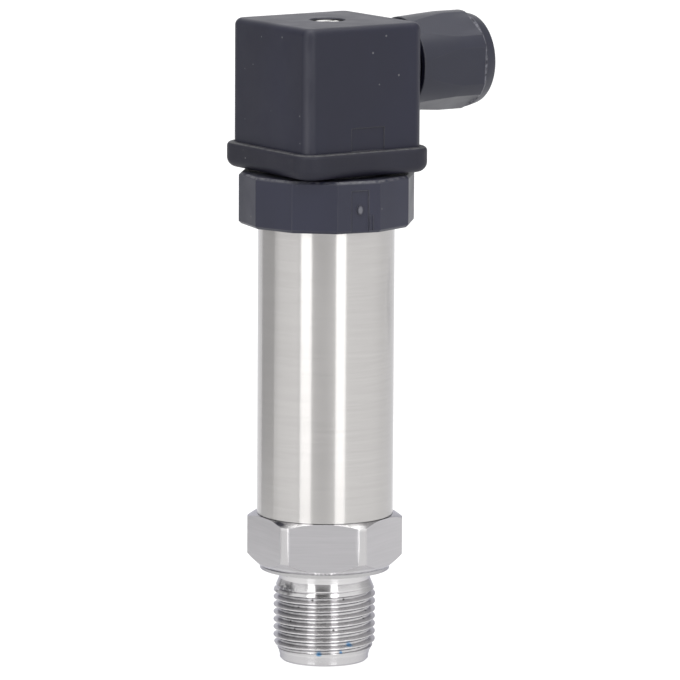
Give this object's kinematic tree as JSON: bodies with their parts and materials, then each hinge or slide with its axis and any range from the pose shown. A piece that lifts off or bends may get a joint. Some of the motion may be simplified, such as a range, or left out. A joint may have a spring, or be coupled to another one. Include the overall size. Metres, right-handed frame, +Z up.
{
  "type": "pressure transmitter",
  "caption": "Screw-in pressure transmitter: threaded process port, hexagon, steel tube housing, clamp ring and a square plug with a side cable gland.",
  "frame": {"origin": "centre of the pressure port's mouth, in the end face of the nose", "axes": "+Z up the transmitter's axis towards the plug, +X towards the cable gland"},
  "size_m": [0.0508, 0.0342, 0.1258],
  "materials": {
    "fitting_steel": "turned and milled stainless steel, satin",
    "tube_steel": "turned stainless steel with fine rings, satin",
    "cell_steel": "turned stainless steel",
    "silicon": "polished silicon",
    "gold_brass": "bright",
    "bead_glass": "fused bead glass",
    "seal_rubber": "smooth moulded rubber",
    "holder_plastic": "natural moulded plastic",
    "board": "green solder mask",
    "chip_plastic": "moulded chip body",
    "can_aluminium": "drawn can",
    "trimmer_plastic": "moulded",
    "wire_plastic": "insulated wire",
    "base_plastic": "glass-filled moulded plastic",
    "tinned_brass": "tinned contact metal",
    "ring_plastic": "moulded, satin",
    "gasket_rubber": "moulded, matt",
    "plug_plastic": "moulded with a fine grain",
    "insert_plastic": "moulded",
    "screw_steel": "zinc plated",
    "washer_plastic": "natural moulded plastic",
    "nut_plastic": "moulded, satin"
  },
  "bodies": {
    "transmitter": {"process_fitting": "fitting_steel", "housing_tube": "tube_steel", "sensor_header": "cell_steel", "sensor_diaphragm": "cell_steel", "sensor_weld_ring": "cell_steel", "sensor_die": "silicon", "sensor_pins": "gold_brass", "pin_glass_seals": "bead_glass", "sensor_seal": "seal_rubber", "sensor_lock_ring": "cell_steel", "board_holder": "holder_plastic", "circuit_board": "board", "amplifier_chip": "chip_plastic", "capacitors": "can_aluminium", "zero_trimmer": "trimmer_plastic", "span_trimmer": "trimmer_plastic", "sensor_leads": "wire_plastic", "connector_leads": "wire_plastic", "connector_base": "base_plastic", "base_o_ring": "seal_rubber", "centre_nut": "gold_brass", "contact_blade_1": "tinned_brass", "contact_blade_2": "tinned_brass", "contact_blade_3": "tinned_brass", "earth_blade": "tinned_brass", "clamp_ring": "ring_plastic"},
    "plug": {"profile_gasket": "gasket_rubber", "plug_housing": "plug_plastic", "terminal_block": "insert_plastic", "socket_contact_1": "tinned_brass", "socket_contact_2": "tinned_brass", "socket_contact_3": "tinned_brass", "earth_socket": "tinned_brass", "terminal_screws": "screw_steel", "cable_seal": "seal_rubber"},
    "screw_carrier": {"screw_washer": "seal_rubber"},
    "screw": {"centre_screw": "screw_steel"},
    "nut_carrier": {"thrust_washer": "washer_plastic"},
    "nut": {"gland_nut": "nut_plastic"}
  },
  "joints": [
    {"name": "plug_lift", "type": "slide", "parent": "transmitter", "child": "plug", "axis": [0, 0, 1], "range_m": [0, 0.025]},
    {"name": "screw_rise", "type": "slide", "parent": "plug", "child": "screw_carrier", "axis": [0, 0, 1], "range_m": [0, 0.0061]},
    {"name": "screw_turn", "type": "hinge", "parent": "screw_carrier", "child": "screw", "pos_m": [0, 0, 0.123], "axis": [0, 0, 1], "range_deg": [0, 4400]},
    {"name": "nut_travel", "type": "slide", "parent": "plug", "child": "nut_carrier", "axis": [1, 0, 0], "range_m": [0, 0.0072]},
    {"name": "nut_turn", "type": "hinge", "parent": "nut_carrier", "child": "nut", "pos_m": [0.025, 0, 0.11595], "axis": [1, 0, 0], "range_deg": [0, 1840]}
  ],
  "couplings": [
    {"joint": "screw_turn", "follows": "screw_rise", "rad_per_m": 12566},
    {"joint": "nut_turn", "follows": "nut_travel", "rad_per_m": 4453}
  ]
}
